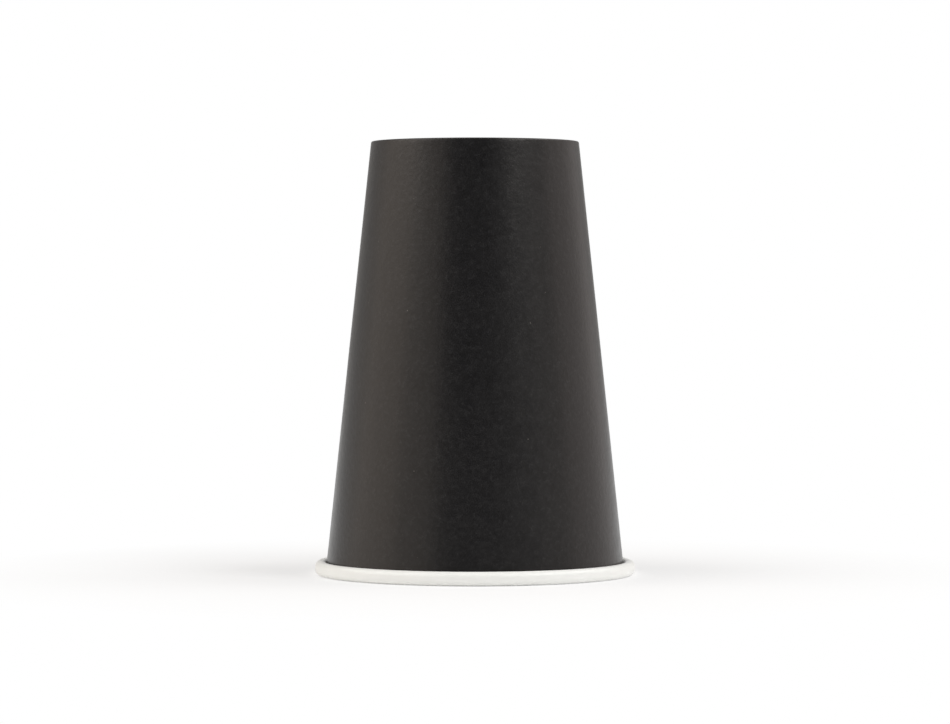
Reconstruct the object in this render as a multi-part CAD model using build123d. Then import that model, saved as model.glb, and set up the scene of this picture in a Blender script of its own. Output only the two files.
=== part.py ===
from build123d import *
import os
from math import asin, atan2, copysign, cos, degrees, hypot, radians, sin, tan

# A single-wall paper cup that stands upside down on its rolled rim.
# It is two pieces of paperboard, sealed together: a side wall and a base.
# The side wall is one sheet. It is wrapped into a cone with a lapped seam, rolled outwards
# at the rim, and folded inwards at the foot so that it grips the skirt of the base.
# The cup's axis is Z. The rim stands on Z = 0 and the foot is at the top.
# Lengths are in millimetres and angles in degrees.

# The cup as a whole
RIM_DIAMETER = 80.0  # outside of the rolled rim
CUP_HEIGHT = 108.0  # from the rim to the foot
FOOT_DIAMETER = 51.8  # outside of the wall, carried on to the foot

# Paperboard, and the film that seals one ply to the next
WALL_BOARD = 0.32
BASE_BOARD = 0.30
SEAL_FILM = 0.02

# Rolled rim
ROLL_WIDTH = 3.15  # of the roll's section, with the wall's own ply
ROLL_HEIGHT = 3.45
ROLL_FLAT = 0.40  # shortest flat that the die leaves between the roll's round corners
LIP_GAP = 0.08  # between the closed roll and the wall
TUCK_TURN = 120.0  # how far the sheet's edge turns on into the roll, from its top

# Foot
FOOT_RECESS = 5.4  # from the foot down to the panel of the base
FOLD_GAP = 0.8  # from the panel of the base up to the edge of the folded wall

# Side seam
SEAM_LAP = 7.0  # width of the double ply
SEAM_RAMP = 2.5  # width over which the outer ply climbs on to the inner one
SEAM_FADE = 1.2  # height over which the lap is pressed flat at its end
SEAM_PLACE = 115.0  # direction of the outer ply's cut edge, about the axis
NOTCH_WIDTH = 0.40  # of the line that the seam leaves across the roll
NOTCH_DEPTH = 0.15

# Sizes that follow from those
RIM_RADIUS = RIM_DIAMETER / 2
FOOT_RADIUS = FOOT_DIAMETER / 2
CORNER_RADIUS = (min(ROLL_WIDTH, ROLL_HEIGHT) - ROLL_FLAT) / 2  # outside of the roll
ROLL_LAND = ROLL_WIDTH - 2 * CORNER_RADIUS  # flat ring below and above the roll
ROLL_SIDE = ROLL_HEIGHT - 2 * CORNER_RADIUS  # flat band round the roll
LAND_RADIUS = RIM_RADIUS - CORNER_RADIUS - ROLL_LAND  # inner edge of the flat ring
GRIP = BASE_BOARD + 2 * SEAL_FILM  # between the wall and its fold, where the skirt sits
PANEL_HEIGHT = CUP_HEIGHT - FOOT_RECESS  # upper face of the base's panel


def wall_lean():
    """Angle between the wall and the axis: the wall's outside runs from the foot, tangent
    to the inside of the roll's first bend."""
    across = LAND_RADIUS - FOOT_RADIUS
    up = CUP_HEIGHT - CORNER_RADIUS
    bend_inside = CORNER_RADIUS - WALL_BOARD
    return degrees(atan2(across, up) - asin(bend_inside / hypot(across, up)))


LEAN = wall_lean()
LEAN_SIN, LEAN_COS = sin(radians(LEAN)), cos(radians(LEAN))


def wall_radius(height, depth=0):
    """Radius of the wall at a height, on its outside or a depth of board further in."""
    return FOOT_RADIUS + (CUP_HEIGHT - height) * tan(radians(LEAN)) - depth / LEAN_COS


def walk(start, heading, steps, right=0):
    """Edges of one face of a bent sheet, walked from a start point in a heading. Each step is
    a size and a turn: a length with no turn is a straight run, a radius with a turn is a bend,
    and a bend of no radius is a crease. The face that lies a distance to the right is walked
    with its radii to match."""
    here = Vector(*start) + Vector(heading[1], -heading[0]) * right
    heading = Vector(*heading)
    edges = []
    for size, turn in steps:
        radius = size + right * copysign(1, turn)
        if turn and not radius:
            heading = heading.rotate(Axis.Z, turn)
            continue
        if turn:
            edge = JernArc(here, heading, radius, turn)
        else:
            edge = PolarLine(here, size, direction=heading)
        here, heading = edge @ 1, edge % 1
        edges.append(edge)
    return edges


def sheet_section(start, heading, steps, right, left=0):
    """Section of a bent sheet, with its thickness to the right and the left of the walk."""
    right_face = walk(start, heading, steps, right)
    left_face = walk(start, heading, steps, -left)
    first_edge = Line(right_face[0] @ 0, left_face[0] @ 0)
    last_edge = Line(right_face[-1] @ 1, left_face[-1] @ 1)
    return Plane.XZ * Face(Wire([first_edge] + right_face + [last_edge] + left_face))


def roll_steps():
    """Outside of the roll, from its top land to the bend into the wall."""
    return [
        (ROLL_LAND, 0),
        (CORNER_RADIUS, -90),
        (ROLL_SIDE, 0),
        (CORNER_RADIUS, -90),
        (ROLL_LAND, 0),
        (CORNER_RADIUS, LEAN - 90),
    ]


def fold_steps():
    """Inside of the wall from the roll to the foot, and round the fold to the sheet's edge.
    Both creases of the fold lie at the foot, one board below its top."""
    wall_start = CORNER_RADIUS * (1 - LEAN_SIN)
    crease = CUP_HEIGHT - WALL_BOARD
    fold_end = PANEL_HEIGHT + FOLD_GAP
    return [
        ((crease - wall_start) / LEAN_COS, 0),
        (0, 90 - LEAN),
        (GRIP / LEAN_COS, 0),
        (0, 90 + LEAN),
        ((crease - fold_end) / LEAN_COS, 0),
    ]


def wrapped_sheet():
    """The side wall's sheet in the round, from the edge tucked into the roll to the fold."""
    lip = wall_radius(ROLL_HEIGHT - CORNER_RADIUS) + LIP_GAP
    tuck_radius = LAND_RADIUS - lip
    tuck_end = radians(90 + TUCK_TURN)
    start = (
        LAND_RADIUS + tuck_radius * cos(tuck_end),
        ROLL_HEIGHT - tuck_radius + tuck_radius * sin(tuck_end),
    )
    heading = (sin(tuck_end), -cos(tuck_end))
    steps = [(tuck_radius, -TUCK_TURN)] + roll_steps() + fold_steps()
    return revolve(sheet_section(start, heading, steps, WALL_BOARD), Axis.Z, 360)


def climb(height):
    """Directions, about the axis, where the seam's outer ply starts and ends its climb."""
    top = SEAM_PLACE - degrees(SEAM_LAP / wall_radius(height))
    return top - degrees(SEAM_RAMP / wall_radius(height)), top


def place(radius, direction, height):
    """Point at a radius and direction about the axis."""
    turn = radians(direction)
    return Vector(radius * cos(turn), radius * sin(turn), height)


def arc(radius, first, last, height):
    """Arc about the axis from one direction to another."""
    middle = place(radius, (first + last) / 2, height)
    return ThreePointArc(place(radius, first, height), middle, place(radius, last, height))


def lap_section(height, step):
    """Section of the outer ply at a height, from half a board inside the wall: up the climb to
    a step above the wall, over the lap, and down the cut edge."""
    start, top = climb(height)
    crown = wall_radius(height) + step
    sunk = wall_radius(height, WALL_BOARD / 2)
    over = arc(crown, top, SEAM_PLACE, height)
    under = arc(sunk, start, SEAM_PLACE, height)
    ramp = Line(under @ 0, over @ 0)
    cut_edge = Line(over @ 1, under @ 1)
    return Face(Wire([ramp, over, cut_edge, under]))


def hollow_section(height, step):
    """Section of the hollow inside the cup at a height, where the outer ply has left the wall
    and the inner ply's cut edge shows as a step."""
    start, top = climb(height)
    inside = wall_radius(height, WALL_BOARD)
    front = arc(inside - WALL_BOARD / 2, start, top, height)
    cut_edge = Line(front @ 1, place(inside + step, top, height))
    ramp = Line(cut_edge @ 1, front @ 0)
    return Face(Wire([front, cut_edge, ramp]))


def seam_run(section, end):
    """A section of the seam run from the roll up to an end, where it is pressed flat."""
    start = ROLL_HEIGHT - WALL_BOARD
    sections = [
        section(start, WALL_BOARD),
        section(end - SEAM_FADE, WALL_BOARD),
        section(end, 0),
    ]
    return loft(sections, ruled=True)


def seam_notch():
    """Line that the end of the inner ply leaves across the visible side of the roll."""
    visible = roll_steps()[:4]
    ribbon = sheet_section((LAND_RADIUS, ROLL_HEIGHT), (1, 0), visible, NOTCH_DEPTH, NOTCH_DEPTH)
    notch = revolve(ribbon, Axis.Z, degrees(NOTCH_WIDTH / RIM_RADIUS))
    return Rot(0, 0, SEAM_PLACE - degrees(SEAM_LAP / RIM_RADIUS)) * notch


def side_wall():
    """The wrapped sheet with its lapped seam."""
    lap = seam_run(lap_section, CUP_HEIGHT - WALL_BOARD)
    hollow = seam_run(hollow_section, PANEL_HEIGHT - BASE_BOARD)
    return wrapped_sheet() + lap - hollow - seam_notch()


def base():
    """The pressed disc that closes the cup, with its skirt up inside the foot's fold."""
    crease = wall_radius(PANEL_HEIGHT, WALL_BOARD + SEAL_FILM + BASE_BOARD)
    skirt_end = CUP_HEIGHT - WALL_BOARD - SEAL_FILM - BASE_BOARD * LEAN_SIN
    steps = [
        (crease, 0),
        (0, 90 + LEAN),
        ((skirt_end - PANEL_HEIGHT) / LEAN_COS, 0),
    ]
    return revolve(sheet_section((0, PANEL_HEIGHT), (1, 0), steps, BASE_BOARD), Axis.Z, 360)


os.makedirs("parts", exist_ok=True)
export_step(side_wall(), "parts/side_wall.step")
export_step(base(), "parts/base.step")
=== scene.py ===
from math import atan2, cos, pi, radians, sin, tan

import bmesh
import bpy
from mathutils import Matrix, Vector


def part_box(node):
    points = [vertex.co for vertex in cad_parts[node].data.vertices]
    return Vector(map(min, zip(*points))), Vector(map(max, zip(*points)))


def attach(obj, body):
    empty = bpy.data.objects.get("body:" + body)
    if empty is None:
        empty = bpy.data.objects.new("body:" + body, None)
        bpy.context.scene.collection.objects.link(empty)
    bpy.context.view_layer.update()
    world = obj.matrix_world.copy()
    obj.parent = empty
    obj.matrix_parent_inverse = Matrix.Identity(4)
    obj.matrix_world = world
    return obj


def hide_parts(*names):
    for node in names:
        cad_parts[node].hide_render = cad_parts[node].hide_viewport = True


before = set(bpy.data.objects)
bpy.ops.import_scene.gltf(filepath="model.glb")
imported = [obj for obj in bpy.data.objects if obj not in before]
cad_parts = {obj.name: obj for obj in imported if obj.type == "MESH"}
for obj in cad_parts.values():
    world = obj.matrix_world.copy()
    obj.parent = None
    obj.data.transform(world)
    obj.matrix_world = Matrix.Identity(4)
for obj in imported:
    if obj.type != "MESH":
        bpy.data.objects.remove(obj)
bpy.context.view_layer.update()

from bl_math import lerp, smoothstep
from mathutils import Matrix, Vector, noise


# Side wall: one fan-shaped blank of coated board, printed black outside and white inside. It is
# wrapped into a cone with a lapped seam, rolled outwards into the white rim, and folded in at the
# foot round the skirt of the base. The mesh is the sheet's white face; its thickness comes last.
MM = 0.001
RIM_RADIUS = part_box("side_wall")[1][0]
CUP_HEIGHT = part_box("side_wall")[1][2]
FOOT_RADIUS = 25.9 * MM  # outside of the wall, carried on to the foot
WALL_LEAN = radians(6.03)
BOARD = 0.32 * MM
FILM = 0.02 * MM  # melted film that seals one ply to the next

ROLL_HEIGHT = 3.45 * MM
ROLL_CORNER = 1.375 * MM
ROLL_LAND = 0.4 * MM  # flat ring below and above the roll
ROLL_SIDE = ROLL_HEIGHT - 2 * ROLL_CORNER
LIP_GAP = 0.08 * MM  # between the closed roll and the wall
TUCK_TURN = radians(120)  # how far the sheet's edge turns on into the roll, from its top

BASE_BOARD = 0.3 * MM
GRIP = BASE_BOARD + 2 * FILM  # between the wall and its fold, where the skirt of the base sits
CREASE = 0.1 * MM  # inside radius of the two creases at the foot
FOOT_RECESS = 5.4 * MM  # from the foot down to the panel of the base
FOLD_GAP = 0.8 * MM  # from the panel up to the edge of the fold
PANEL_HEIGHT = CUP_HEIGHT - FOOT_RECESS
FOLD_END = PANEL_HEIGHT + FOLD_GAP
KNURL_CLEAR = 0.7 * MM  # plain band at each end of the knurled fold
KNURL_FADE = 0.3 * MM  # band over which the ribs rise
KNURL_HEIGHT = 0.07 * MM

SEAM_PLACE = radians(115)  # direction of the outer ply's cut edge, about the axis
SEAM_LAP = 7.0 * MM  # width of the double ply, at the rim
SEAM_RAMP = 2.5 * MM  # width over which the outer ply climbs on to the inner one, at the rim
SEAM_FADE = 1.2 * MM  # run of wall over which the lap is pressed flat at its ends
LAP_TURN = SEAM_LAP / RIM_RADIUS
RAMP_TURN = SEAM_RAMP / RIM_RADIUS
PRESSED_PLY = 0.5  # thickness of a ply where two are pressed to one, as a share of the board's

WAVE_LENGTH = 25 * MM  # of the slight waves of a wall that no die has pressed
ROLL_WAVE = 0.12 * MM
WALL_WAVE = 0.05 * MM
ROLL_WAVE_END = 3 * ROLL_HEIGHT  # height where the roll's waves have become those of the wall
WALL_WAVE_END = CUP_HEIGHT / 2  # height from which the waves die away towards the base

BEND_STEPS = 8
WALL_ROWS = 28
HALF_STEPS = 180
LAP_STEPS = 10
KNURL_RIBS = HALF_STEPS // 2  # each rib takes four steps of the full turn


def wall_radius(height, depth=0):
    """Radius of the wall at a height, on its outside or a depth of board further in."""
    return FOOT_RADIUS + (CUP_HEIGHT - height) * tan(WALL_LEAN) - depth / cos(WALL_LEAN)


def share_of(swing):
    """Brings a cosine or a noise, which swings between -1 and 1, to between 0 and 1."""
    return 0.5 + 0.5 * swing


def draw_sheet(mesh, start, heading, steps):
    """Draws one face of a bent sheet in the XZ plane. A step is a run (length, 0) or a bend
    (radius, turn), where a positive turn goes left. Returns the point that each step ends at."""
    tip = mesh.verts.new(start)
    tips = []
    heading = Vector(heading)
    for size, turn in steps:
        if turn:
            left = Vector((-heading.z, 0, heading.x))
            centre = tip.co + left * (size if turn > 0 else -size)
            made = bmesh.ops.spin(
                mesh, geom=[tip], cent=centre, axis=(0, -1, 0), angle=turn, steps=BEND_STEPS
            )
            tip = next(e for e in made["geom_last"] if isinstance(e, bmesh.types.BMVert))
            heading = Matrix.Rotation(turn, 3, (0, -1, 0)) @ heading
        else:
            made = bmesh.ops.extrude_vert_indiv(mesh, verts=[tip])
            tip = made["verts"][0]
            bmesh.ops.translate(mesh, verts=[tip], vec=heading * size)
        tips.append(tip)
    return tips


land_radius = RIM_RADIUS - ROLL_CORNER - ROLL_LAND
tuck_radius = land_radius - wall_radius(ROLL_HEIGHT - ROLL_CORNER) - LIP_GAP
tuck_end = pi / 2 + TUCK_TURN
sheet_start = (
    land_radius + tuck_radius * cos(tuck_end),
    0,
    ROLL_HEIGHT - tuck_radius + tuck_radius * sin(tuck_end),
)
sheet_heading = (sin(tuck_end), 0, -cos(tuck_end))
first_turn, second_turn = pi / 2 - WALL_LEAN, pi / 2 + WALL_LEAN
first_cut, second_cut = CREASE * tan(first_turn / 2), CREASE * tan(second_turn / 2)
crease_height = CUP_HEIGHT - BOARD - FILM
lip_run = (ROLL_HEIGHT - ROLL_CORNER * (1 - sin(WALL_LEAN))) / cos(WALL_LEAN)
wall_run = (crease_height - ROLL_HEIGHT) / cos(WALL_LEAN) - first_cut - 2 * SEAM_FADE
sole_run = GRIP / cos(WALL_LEAN) - first_cut - second_cut
fold_run = (crease_height - FOLD_END) / cos(WALL_LEAN) - second_cut
knurl_run = fold_run - 2 * (KNURL_CLEAR + KNURL_FADE)

roll_steps = [
    (tuck_radius, -TUCK_TURN),
    (ROLL_LAND, 0),
    (ROLL_CORNER, -pi / 2),
    (ROLL_SIDE, 0),
    (ROLL_CORNER, -pi / 2),
    (ROLL_LAND, 0),
    (ROLL_CORNER, -first_turn),
    (lip_run, 0),
]
wall_steps = [(SEAM_FADE, 0)] + [(wall_run / WALL_ROWS, 0)] * WALL_ROWS
foot_steps = [(SEAM_FADE, 0), (CREASE, first_turn), (sole_run, 0), (CREASE, second_turn)]
knurl_steps = [
    (KNURL_CLEAR, 0),
    (KNURL_FADE, 0),
    (knurl_run, 0),
    (KNURL_FADE, 0),
    (KNURL_CLEAR, 0),
]

side_mesh = bmesh.new()
ply_weight = side_mesh.verts.layers.deform.verify()
full_lap = side_mesh.verts.layers.float.new("full_lap")
knurled = side_mesh.verts.layers.float.new("knurled")
all_steps = roll_steps + wall_steps + foot_steps + knurl_steps
tips = draw_sheet(side_mesh, sheet_start, sheet_heading, all_steps)
for tip in tips[len(roll_steps) : len(roll_steps) + len(wall_steps)]:
    tip[full_lap] = 1
first_knurl = len(all_steps) - len(knurl_steps) + 1
for tip in tips[first_knurl : first_knurl + 2]:
    tip[knurled] = 1

# The line is spun once round and on over its own start, so that the sheet laps itself.
lap_start = SEAM_PLACE - LAP_TURN
bmesh.ops.rotate(side_mesh, verts=side_mesh.verts, matrix=Matrix.Rotation(lap_start, 3, "Z"))
first_half = bmesh.ops.spin(
    side_mesh, geom=side_mesh.verts[:] + side_mesh.edges[:], axis=(0, 0, 1),
    angle=pi, steps=HALF_STEPS,
)
inner_half = set(side_mesh.verts)
bmesh.ops.spin(
    side_mesh, geom=first_half["geom_last"], axis=(0, 0, 1),
    angle=pi + LAP_TURN, steps=HALF_STEPS + LAP_STEPS,
)
bmesh.ops.recalc_face_normals(side_mesh, faces=side_mesh.faces)
bmesh.ops.reverse_faces(side_mesh, faces=side_mesh.faces)
side_mesh.normal_update()

# Where the sheet laps, the outer ply climbs on to the inner one. In the roll and the fold the two
# are pressed to the thickness of one board. The wall strays most at the rim, and not at the foot,
# where a wheel has pressed the fold on to the skirt and left it knurled.
for v in side_mesh.verts:
    turn = (atan2(v.co.y, v.co.x) - lap_start) % (2 * pi)
    rib = share_of(cos(KNURL_RIBS * turn))
    ply = lerp(PRESSED_PLY, 1, v[full_lap])
    if v in inner_half:
        if turn > 3 * pi / 2:  # the sheet's start, when it comes out just under a full turn
            turn -= 2 * pi
        lapped = 1 - smoothstep(LAP_TURN, LAP_TURN + RAMP_TURN, turn)
        climbed = 0
    else:
        if turn < pi / 2:  # the lap, which is past a full turn
            turn += 2 * pi
        lapped = climbed = smoothstep(2 * pi - RAMP_TURN, 2 * pi, turn)
    wave = lerp(ROLL_WAVE, WALL_WAVE, smoothstep(0, ROLL_WAVE_END, v.co.z))
    wave *= 1 - smoothstep(WALL_WAVE_END, PANEL_HEIGHT, v.co.z)
    wave *= share_of(noise.noise(v.co / WAVE_LENGTH))
    outwards = v.co.xy.normalized().to_3d()
    v[ply_weight][0] = lerp(1, ply, lapped)
    v.co -= v.normal * climbed * (ply * BOARD + FILM)
    v.co -= v.normal.xy.to_3d() * wave
    v.co -= outwards * KNURL_HEIGHT * rib * v[knurled]


def linear(code):
    """Turns an sRGB hex colour into the linear colour that a node takes."""
    shares = [int(code[i : i + 2], 16) / 255 for i in (1, 3, 5)]
    return [s / 12.92 if s <= 0.04045 else ((s + 0.055) / 1.055) ** 2.4 for s in shares] + [1]


def add_node(tree, kind, inputs=None, **settings):
    """Adds a node with its settings. Each input is a value, or a socket to link from."""
    node = tree.nodes.new(kind)
    for name, value in settings.items():
        setattr(node, name, value)
    for name, value in (inputs or {}).items():
        if isinstance(value, bpy.types.NodeSocket):
            tree.links.new(value, node.inputs[name])
        else:
            node.inputs[name].default_value = value
    return node


def new_material(name):
    """Makes an empty node material. Returns it with its node tree and the object's coordinates."""
    material = bpy.data.materials.new(name)
    material.use_nodes = True
    tree = material.node_tree
    tree.nodes.clear()
    return material, tree, add_node(tree, "ShaderNodeTexCoord").outputs["Object"]


# White coated board: bleached paperboard under a thin polymer film. It is a clean white with a
# satin film, and the fibres under the film leave it faintly cloudy and not quite flat.
BOARD_IOR = 1.5  # of the film, the ink and the bare fibre
WHITE_CLOUD = 5 * MM  # width of the cloudy patches of fibre
WHITE_GRAIN = 0.5 * MM  # fibre under the film, drawn coarser than it is so that it shows
WHITE_RELIEF = 0.02 * MM

white_board, tree, place = new_material("white_coated_board")
cloud = add_node(tree, "ShaderNodeTexNoise", {
    "Vector": place, "Scale": 1 / WHITE_CLOUD, "Detail": 3.0,
})
grain = add_node(tree, "ShaderNodeTexNoise", {
    "Vector": place, "Scale": 1 / WHITE_GRAIN, "Detail": 2.0,
})
tint = add_node(tree, "ShaderNodeMix", {
    "Factor": cloud.outputs["Fac"], "A": linear("#f2f3f0"), "B": linear("#f7f8f5"),
}, data_type="RGBA")
relief = add_node(tree, "ShaderNodeBump", {
    "Strength": 0.25, "Distance": WHITE_RELIEF, "Height": grain.outputs["Fac"],
})
surface = add_node(tree, "ShaderNodeBsdfPrincipled", {
    "Base Color": tint.outputs["Result"], "Roughness": 0.42, "IOR": BOARD_IOR,
    "Normal": relief.outputs["Normal"],
})
add_node(tree, "ShaderNodeOutputMaterial", {"Surface": surface.outputs["BSDF"]})

# Black printed board: a full print of black ink on the same board, under a thin satin film. The
# felt of the board shows through the print as an even grain with short raised hairs, painted paler
# as a painted sheen of the light their fibres catch; the film is a little cloudy, the ink bronzes
# what it mirrors, and pinholes in it leave pale specks.
NOISE_LOW, NOISE_MIDDLE, NOISE_HIGH = 0.3, 0.5, 0.7  # a noise seldom passes the outer two
FILM_CLOUD = 4.0 * MM  # patches where the film is duller
FILM_SMOOTH, FILM_DULL = 0.28, 0.32  # its roughness
FELT_GRAIN = 1.2 * MM  # coarsest of three sizes in the ink, each half of the one before
FELT_WIDTH = 1.2 * MM  # coarsest of three sizes of the felt's bumps
FELT_RELIEF = 0.045 * MM
HAIR_LENGTH = 1.5 * MM
HAIR_SHARE = 0.05  # a hair's half width as a share of its noise; drawn coarse so that it shows
HAIR_GAP, HAIR_WHOLE = 0.46, 0.62  # values of the grain where a hair is broken, and where it shows
HAIR_RAISED = 0.04  # how far a hair stands out, as a share of the relief
SPECK_SPACING = 5.0 * MM
SPECK_RADIUS = 0.16 * MM
SPECK_CORE = 0.4 * SPECK_RADIUS  # middle of a speck, which is bare of ink

print_board, tree, place = new_material("black_printed_board")
cloud = add_node(tree, "ShaderNodeTexNoise", {
    "Vector": place, "Scale": 1 / FILM_CLOUD, "Detail": 2.0,
})
gloss = add_node(tree, "ShaderNodeMapRange", {
    "Value": cloud.outputs["Fac"], "From Min": NOISE_LOW, "From Max": NOISE_HIGH,
    "To Min": FILM_SMOOTH, "To Max": FILM_DULL,
})
grain = add_node(tree, "ShaderNodeTexNoise", {
    "Vector": place, "Scale": 1 / FELT_GRAIN, "Detail": 2.0, "Roughness": 0.7,
})
felt = add_node(tree, "ShaderNodeMapRange", {
    "Value": grain.outputs["Fac"], "From Min": NOISE_LOW, "From Max": NOISE_HIGH,
})
ink = add_node(tree, "ShaderNodeMix", {
    "Factor": felt.outputs["Result"], "A": linear("#0d0d0f"), "B": linear("#171719"),
}, data_type="RGBA")

curl = add_node(tree, "ShaderNodeTexNoise", {
    "Vector": place, "Scale": 1 / HAIR_LENGTH, "Detail": 1.0, "Distortion": 0.8,
})
swing = add_node(tree, "ShaderNodeMath", {
    0: curl.outputs["Fac"], 1: NOISE_MIDDLE,
}, operation="SUBTRACT")
off_line = add_node(tree, "ShaderNodeMath", {0: swing.outputs[0]}, operation="ABSOLUTE")
line = add_node(tree, "ShaderNodeMapRange", {
    "Value": off_line.outputs[0], "From Min": 0.0, "From Max": HAIR_SHARE,
    "To Min": 1.0, "To Max": 0.0,
})
breaks = add_node(tree, "ShaderNodeMapRange", {
    "Value": grain.outputs["Fac"], "From Min": HAIR_GAP, "From Max": HAIR_WHOLE,
})
hair = add_node(tree, "ShaderNodeMath", {
    0: line.outputs["Result"], 1: breaks.outputs["Result"],
}, operation="MULTIPLY")
# Hairs painted paler than the ink: a painted sheen of the raised fibres, whose real rise is in the
# relief below
ink_with_painted_hair_sheen = add_node(tree, "ShaderNodeMix", {
    "Factor": hair.outputs[0], "A": ink.outputs["Result"], "B": linear("#212122"),
}, data_type="RGBA")

pinhole = add_node(tree, "ShaderNodeTexVoronoi", {"Vector": place, "Scale": 1 / SPECK_SPACING})
speck = add_node(tree, "ShaderNodeMapRange", {
    "Value": pinhole.outputs["Distance"],
    "From Min": SPECK_CORE / SPECK_SPACING, "From Max": SPECK_RADIUS / SPECK_SPACING,
    "To Min": 1.0, "To Max": 0.0,
})
specked = add_node(tree, "ShaderNodeMix", {
    "Factor": speck.outputs["Result"], "A": ink_with_painted_hair_sheen.outputs["Result"], "B": linear("#6e6a66"),
}, data_type="RGBA")

bumps = add_node(tree, "ShaderNodeTexNoise", {
    "Vector": place, "Scale": 1 / FELT_WIDTH, "Detail": 2.0,
})
raised = add_node(tree, "ShaderNodeMath", {
    0: hair.outputs[0], 1: HAIR_RAISED, 2: bumps.outputs["Fac"],
}, operation="MULTIPLY_ADD")
relief = add_node(tree, "ShaderNodeBump", {
    "Strength": 1.0, "Distance": FELT_RELIEF, "Height": raised.outputs[0],
})
surface = add_node(tree, "ShaderNodeBsdfPrincipled", {
    "Base Color": specked.outputs["Result"], "Roughness": gloss.outputs["Result"],
    "IOR": BOARD_IOR, "Specular Tint": linear("#fff9f3"), "Normal": relief.outputs["Normal"],
})
add_node(tree, "ShaderNodeOutputMaterial", {"Surface": surface.outputs["BSDF"]})

# Cut board: the bare fibre on the sheet's cut edges. It is dull and streaked, and the knife has
# dragged some ink over it, so it is greyer than the board's face.
CUT_FIBRE = 0.4 * MM  # drawn coarser than it is so that it shows
CUT_RELIEF = 0.03 * MM

cut_board, tree, place = new_material("cut_board_edge")
fibre = add_node(tree, "ShaderNodeTexNoise", {
    "Vector": place, "Scale": 1 / CUT_FIBRE, "Detail": 2.0,
})
tint = add_node(tree, "ShaderNodeMix", {
    "Factor": fibre.outputs["Fac"], "A": linear("#6f6a62"), "B": linear("#a59e92"),
}, data_type="RGBA")
relief = add_node(tree, "ShaderNodeBump", {
    "Strength": 1.0, "Distance": CUT_RELIEF, "Height": fibre.outputs["Fac"],
})
surface = add_node(tree, "ShaderNodeBsdfPrincipled", {
    "Base Color": tint.outputs["Result"], "Roughness": 0.8, "IOR": BOARD_IOR,
    "Normal": relief.outputs["Normal"],
})
add_node(tree, "ShaderNodeOutputMaterial", {"Surface": surface.outputs["BSDF"]})


def add_piece(name, mesh, materials):
    """Makes a piece of the object from a finished mesh, smooth but for the sheet's cut edges."""
    for face in mesh.faces:
        face.smooth = True
    for edge in mesh.edges:
        edge.smooth = not edge.is_boundary
    data = bpy.data.meshes.new(name)
    mesh.to_mesh(data)
    mesh.free()
    for material in materials:
        data.materials.append(material)
    piece = bpy.data.objects.new(name, data)
    bpy.context.collection.objects.link(piece)
    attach(piece, "root")
    return piece


side_piece = add_piece("wrapped_side_wall", side_mesh, [white_board, print_board, cut_board])
side_piece.vertex_groups.new(name="ply")
board = side_piece.modifiers.new("board", "SOLIDIFY")
board.thickness = BOARD
board.offset = -1
board.use_even_offset = True
board.vertex_group = "ply"
board.material_offset = 1
board.material_offset_rim = 2
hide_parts("side_wall")


# Base: one round blank of white board, pressed into a shallow dish. Its skirt stands up inside
# the fold of the side wall, where the films of the two are melted together. The press leaves the
# panel a little hollow, with fine pleats where the board turns up into the skirt.
BASE_BEND = 0.3 * MM  # inside radius of the bend into the skirt
SKIRT_SHORT = 0.25 * MM  # from the edge of the skirt up to the inside of the fold
PANEL_SAG = 0.25 * MM
PLEATS = 60
PLEAT_REACH = 2.0 * MM
PLEAT_DEPTH = 0.08 * MM
BASE_STEPS = 4 * PLEATS
PANEL_ROWS = 8
MERGE_REACH = 0.001 * MM  # for the points of the panel's middle, which are all one

base_mesh = bmesh.new()
bend_cut = BASE_BEND * tan(second_turn / 2)
panel_run = wall_radius(PANEL_HEIGHT, BOARD + FILM + BASE_BOARD) - bend_cut
skirt_run = (CUP_HEIGHT - BOARD - SKIRT_SHORT - PANEL_HEIGHT) / cos(WALL_LEAN) - bend_cut
draw_sheet(base_mesh, (0, 0, PANEL_HEIGHT), (1, 0, 0), [
    *[((panel_run - PLEAT_REACH) / PANEL_ROWS, 0)] * PANEL_ROWS,
    (PLEAT_REACH, 0),
    (BASE_BEND, second_turn),
    (skirt_run, 0),
])
bmesh.ops.spin(
    base_mesh, geom=base_mesh.verts[:] + base_mesh.edges[:], axis=(0, 0, 1),
    angle=2 * pi, steps=BASE_STEPS, use_merge=True,
)
bmesh.ops.remove_doubles(base_mesh, verts=base_mesh.verts, dist=MERGE_REACH)
bmesh.ops.recalc_face_normals(base_mesh, faces=base_mesh.faces)
for v in base_mesh.verts:
    reach = v.co.xy.length
    pleat = share_of(cos(PLEATS * atan2(v.co.y, v.co.x)))
    v.co.z -= PANEL_SAG * (1 - smoothstep(0, panel_run, reach))
    v.co.z -= PLEAT_DEPTH * pleat * smoothstep(panel_run - PLEAT_REACH, panel_run, reach)
base_piece = add_piece("pressed_base", base_mesh, [white_board, cut_board])
board = base_piece.modifiers.new("board", "SOLIDIFY")
board.thickness = BASE_BOARD
board.offset = 1
board.use_even_offset = True
board.material_offset_rim = 1
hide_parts("base")


# Floor and backdrop: a plain white sweep. It shows as white, but keeps the cup's soft shadow
# close to the rim.
FLOOR_RADIUS = 6.0
FLOOR_SIDES = 96
BACKDROP_PLACE = 2.5
BACKDROP_HALF = 0.6  # half of its width and height
SHADE_REACH, WHITE_REACH = 0.06, 0.14  # from the axis to where white grows, and to where it is full
SHADE_WHITE = 0.5  # share of plain white where the shadow is

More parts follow.
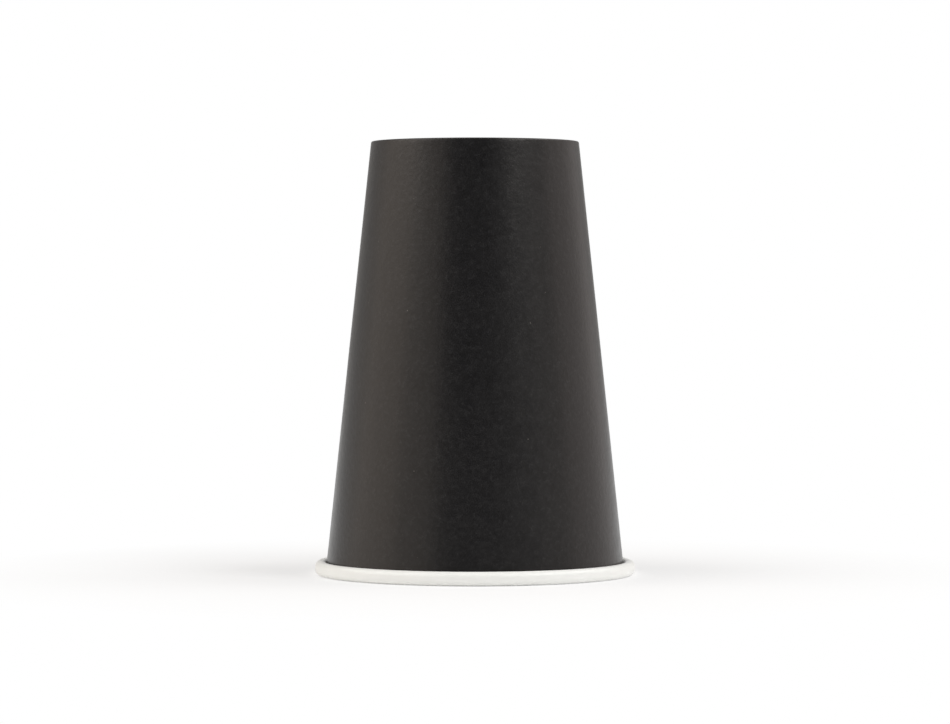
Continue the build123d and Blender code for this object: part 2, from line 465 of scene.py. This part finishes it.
floor_white, tree, place = new_material("white_floor")
away = add_node(tree, "ShaderNodeVectorMath", {"Vector": place}, operation="LENGTH")
paleness = add_node(tree, "ShaderNodeMapRange", {
    "Value": away.outputs["Value"], "From Min": SHADE_REACH, "From Max": WHITE_REACH,
    "To Min": SHADE_WHITE, "To Max": 1.0,
})
ray = add_node(tree, "ShaderNodeLightPath")
seen = add_node(tree, "ShaderNodeMath", {
    0: ray.outputs["Is Camera Ray"], 1: ray.outputs["Is Glossy Ray"],
}, operation="ADD")
seen = add_node(tree, "ShaderNodeMath", {
    0: seen.outputs[0], 1: ray.outputs["Is Transmission Ray"],
}, operation="ADD", use_clamp=True)
share = add_node(tree, "ShaderNodeMath", {
    0: seen.outputs[0], 1: paleness.outputs["Result"],
}, operation="MULTIPLY")
lit = add_node(tree, "ShaderNodeBsdfDiffuse", {"Color": linear("#f6f6f6")})
glow = add_node(tree, "ShaderNodeEmission", {"Color": linear("#ffffff")})
mixed = add_node(tree, "ShaderNodeMixShader", {
    0: share.outputs[0], 1: lit.outputs[0], 2: glow.outputs[0],
})
add_node(tree, "ShaderNodeOutputMaterial", {"Surface": mixed.outputs[0]})


def add_stage(name, mesh, material):
    """Makes a piece of the studio, which is no part of the object."""
    data = bpy.data.meshes.new(name)
    mesh.to_mesh(data)
    mesh.free()
    data.materials.append(material)
    prop = bpy.data.objects.new(name, data)
    bpy.context.collection.objects.link(prop)
    return prop


def upright_grid(half_width, half_height, place):
    """Makes the mesh of an upright rectangle across the view, with its middle at a place."""
    mesh = bmesh.new()
    bmesh.ops.create_grid(mesh, x_segments=1, y_segments=1, size=1)
    bmesh.ops.scale(mesh, verts=mesh.verts, vec=(half_width, half_height, 1))
    bmesh.ops.rotate(mesh, verts=mesh.verts, matrix=Matrix.Rotation(pi / 2, 3, "X"))
    bmesh.ops.translate(mesh, verts=mesh.verts, vec=place)
    return mesh


floor_mesh = bmesh.new()
bmesh.ops.create_circle(floor_mesh, cap_ends=True, segments=FLOOR_SIDES, radius=FLOOR_RADIUS)
add_stage("floor", floor_mesh, floor_white)
backdrop_middle = (0, BACKDROP_PLACE, BACKDROP_HALF)
backdrop_mesh = upright_grid(BACKDROP_HALF, BACKDROP_HALF, backdrop_middle)
add_stage("backdrop", backdrop_mesh, floor_white)


# Light: an even pale room, with a soft key lamp in front on the right, softer lamps round the
# sides and overhead, and tall warm panels on both sides. Behind the camera is a dim screen, paler
# to the right, which the black print mirrors down its middle.
LAMP_AIM = (0, 0, 0.03)
LAMPS = {  # place, width and height in metres, power in watts
    "key_lamp": ((0.72, -0.61, 0.77), 0.5, 0.5, 4.75),
    "fill_lamp": ((-0.96, -0.24, 0.85), 1.0, 1.0, 4.1),
    "front_lamp": ((-0.55, -0.65, 0.9), 0.6, 0.6, 1.5),
    "side_lamp": ((0.95, 0.08, 0.85), 0.6, 0.6, 3.2),
    "top_lamp": ((0, -0.15, 1.25), 1.2, 0.5, 1.2),
}
PANEL_AWAY = 1.25
PANEL_TALL = 1.6
PANELS = {  # degrees from the camera's side, where left is negative; width, glow and colour
    "left_panel": (-82, 2.6, 0.215, "#ffeedd"),
    "left_panel_middle": (-89, 1.06, 0.47, "#fff0e2"),
    "right_panel": (111, 1.5, 0.35, "#fff1ee"),
}
SCREEN_PLACE = (0.6, -1.25, 0.55)
SCREEN_HALF_WIDTH, SCREEN_HALF_HEIGHT = 1.3, 0.6
SCREEN_DARK_END, SCREEN_PALE_END = 0.2, 1.8  # places along X

world = bpy.data.worlds.new("pale_room")
world.use_nodes = True
world.node_tree.nodes["Background"].inputs["Color"].default_value = linear("#aaa7a4")
bpy.context.scene.world = world


def look_from(thing, place, aim):
    """Puts a lamp or a camera at a place, turned to look at a point."""
    thing.location = place
    thing.rotation_mode = "QUATERNION"
    thing.rotation_quaternion = (Vector(aim) - Vector(place)).to_track_quat("-Z", "Y")
    bpy.context.collection.objects.link(thing)


def add_lamp(name, place, aim, width, height, power, colour):
    """Adds a soft rectangular lamp that looks at a point."""
    data = bpy.data.lights.new(name, "AREA")
    data.shape = "RECTANGLE"
    data.size, data.size_y = width, height
    data.energy = power
    data.color = linear(colour)[:3]
    lamp = bpy.data.objects.new(name, data)
    lamp.visible_camera = False
    look_from(lamp, place, aim)


for name, (place, width, height, power) in LAMPS.items():
    add_lamp(name, place, LAMP_AIM, width, height, power, "#ffffff")
for name, (direction, width, glow, colour) in PANELS.items():
    turn = radians(direction)
    place = (PANEL_AWAY * sin(turn), -PANEL_AWAY * cos(turn), PANEL_TALL / 2)
    power = glow * pi * width * PANEL_TALL
    add_lamp(name, place, (0, 0, PANEL_TALL / 2), width, PANEL_TALL, power, colour)

screen_felt, tree, place = new_material("dark_screen")
across = add_node(tree, "ShaderNodeSeparateXYZ", {"Vector": place})
grade = add_node(tree, "ShaderNodeMapRange", {
    "Value": across.outputs["X"], "From Min": SCREEN_DARK_END, "From Max": SCREEN_PALE_END,
})
shade = add_node(tree, "ShaderNodeMix", {
    "Factor": grade.outputs["Result"], "A": linear("#505050"), "B": linear("#8a8a8a"),
}, data_type="RGBA")
dim = add_node(tree, "ShaderNodeEmission", {"Color": shade.outputs["Result"]})
add_node(tree, "ShaderNodeOutputMaterial", {"Surface": dim.outputs[0]})
screen_mesh = upright_grid(SCREEN_HALF_WIDTH, SCREEN_HALF_HEIGHT, SCREEN_PLACE)
screen = add_stage("dark_screen", screen_mesh, screen_felt)
screen.visible_camera = False


# Camera: the photograph's viewing angle and scale, a little above the rim.
CAMERA_PLACE = (0, -0.9225, 0.071)
CAMERA_AIM = (0, 0, 0.053)
CAMERA_LENS = 140

camera_data = bpy.data.cameras.new("camera")
camera_data.lens = CAMERA_LENS
camera = bpy.data.objects.new("camera", camera_data)
look_from(camera, CAMERA_PLACE, CAMERA_AIM)
bpy.context.scene.camera = camera
bpy.context.scene.view_settings.view_transform = "Standard"
